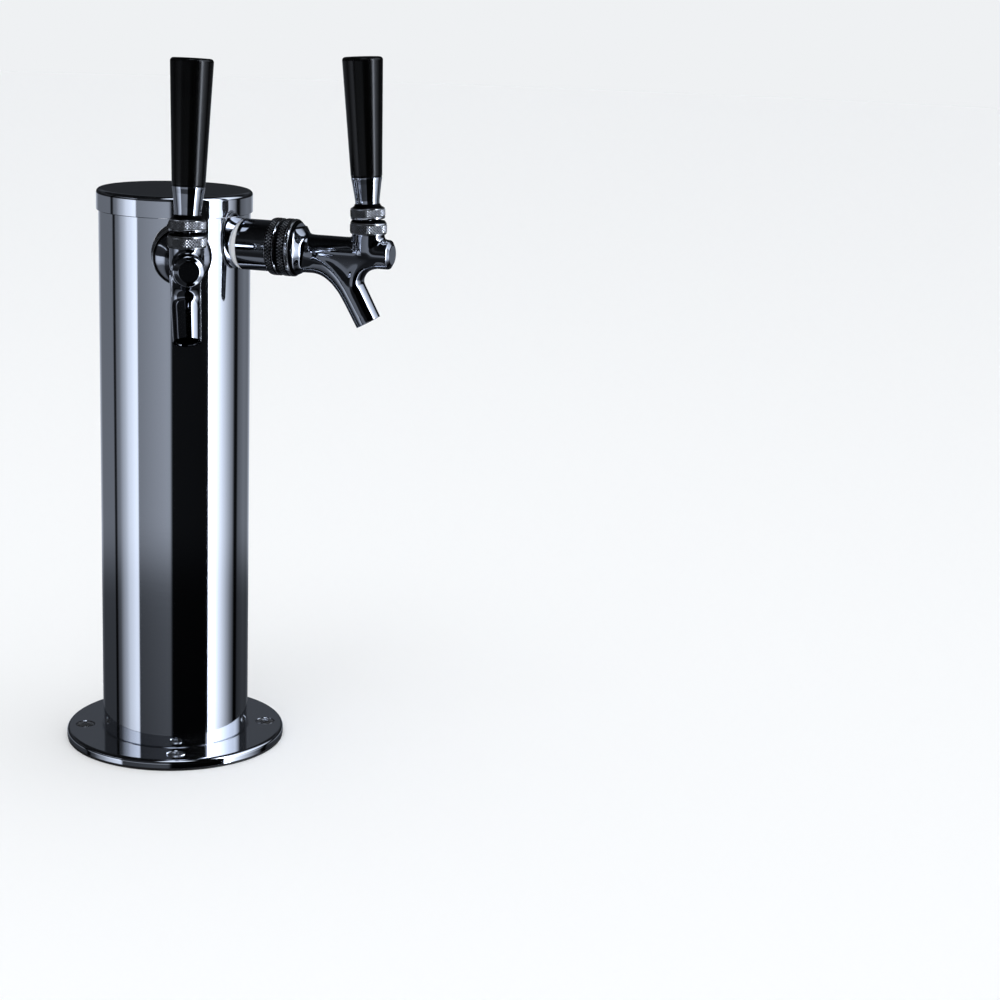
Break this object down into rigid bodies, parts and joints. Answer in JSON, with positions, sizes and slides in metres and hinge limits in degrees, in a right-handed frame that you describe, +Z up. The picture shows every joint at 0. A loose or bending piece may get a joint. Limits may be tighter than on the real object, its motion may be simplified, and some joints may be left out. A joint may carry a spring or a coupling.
{
  "type": "beer tap tower",
  "caption": "Column draft tower with lever-operated rear-closing faucets, a press-on cap and a round bolt-down base flange.",
  "frame": {"origin": "bottom centre of the bounding box, on the underside of the base gasket", "axes": "+Z up along the column; the two taps point towards -Y, one to -X (left) and one to +X (right)"},
  "size_m": [0.1314, 0.16, 0.361],
  "materials": {
    "polished_steel": "mirror-polished stainless steel",
    "chrome": "bright chrome plate",
    "brass": "machined brass",
    "black_plastic": "glossy black moulded plastic",
    "nylon": "natural nylon",
    "rubber": "black rubber"
  },
  "bodies": {
    "tower": {"base_flange": "polished_steel", "base_gasket": "rubber", "column_tube": "polished_steel", "flange_screw_1": "polished_steel", "flange_screw_2": "polished_steel", "flange_screw_3": "polished_steel", "flange_screw_4": "polished_steel", "shank_left": "brass", "shank_sleeve_left": "chrome", "coupling_nut_left": "chrome", "coupling_gasket_left": "rubber", "saddle_washer_left": "nylon", "lock_nut_left": "brass", "tail_elbow_left": "polished_steel", "faucet_body_left": "chrome", "front_plug_left": "chrome", "bonnet_left": "chrome", "friction_washer_left": "nylon", "ball_seat_left": "rubber", "shank_right": "brass", "shank_sleeve_right": "chrome", "coupling_nut_right": "chrome", "coupling_gasket_right": "rubber", "saddle_washer_right": "nylon", "lock_nut_right": "brass", "tail_elbow_right": "polished_steel", "faucet_body_right": "chrome", "front_plug_right": "chrome", "bonnet_right": "chrome", "friction_washer_right": "nylon", "ball_seat_right": "rubber"},
    "cap": {"top_cap": "polished_steel", "cap_seal": "rubber"},
    "lever_left": {"lever_left": "chrome", "lever_collar_left": "chrome", "handle_ferrule_left": "chrome", "handle_knob_left": "black_plastic"},
    "shaft_left": {"valve_shaft_left": "polished_steel", "shaft_seal_left": "rubber"},
    "lever_right": {"lever_right": "chrome", "lever_collar_right": "chrome", "handle_ferrule_right": "chrome", "handle_knob_right": "black_plastic"},
    "shaft_right": {"valve_shaft_right": "polished_steel", "shaft_seal_right": "rubber"}
  },
  "joints": [
    {"name": "cap_lift", "type": "slide", "parent": "tower", "child": "cap", "axis": [0, 0, 1], "range_m": [0, 0.04]},
    {"name": "lever_pull_left", "type": "hinge", "parent": "tower", "child": "lever_left", "pos_m": [-0.05356, -0.06631, 0.2764], "axis": [0.8572, -0.515, 0], "range_deg": [0, 27]},
    {"name": "shaft_slide_left", "type": "slide", "parent": "tower", "child": "shaft_left", "axis": [-0.515, -0.8572, 0], "range_m": [-0.0056, 0]},
    {"name": "lever_pull_right", "type": "hinge", "parent": "tower", "child": "lever_right", "pos_m": [0.05356, -0.06631, 0.2764], "axis": [0.8572, 0.515, 0], "range_deg": [0, 27]},
    {"name": "shaft_slide_right", "type": "slide", "parent": "tower", "child": "shaft_right", "axis": [0.515, -0.8572, 0], "range_m": [-0.0056, 0]}
  ],
  "couplings": [
    {"joint": "shaft_slide_left", "follows": "lever_pull_left", "m_per_rad": -0.0117},
    {"joint": "shaft_slide_right", "follows": "lever_pull_right", "m_per_rad": -0.0117}
  ]
}
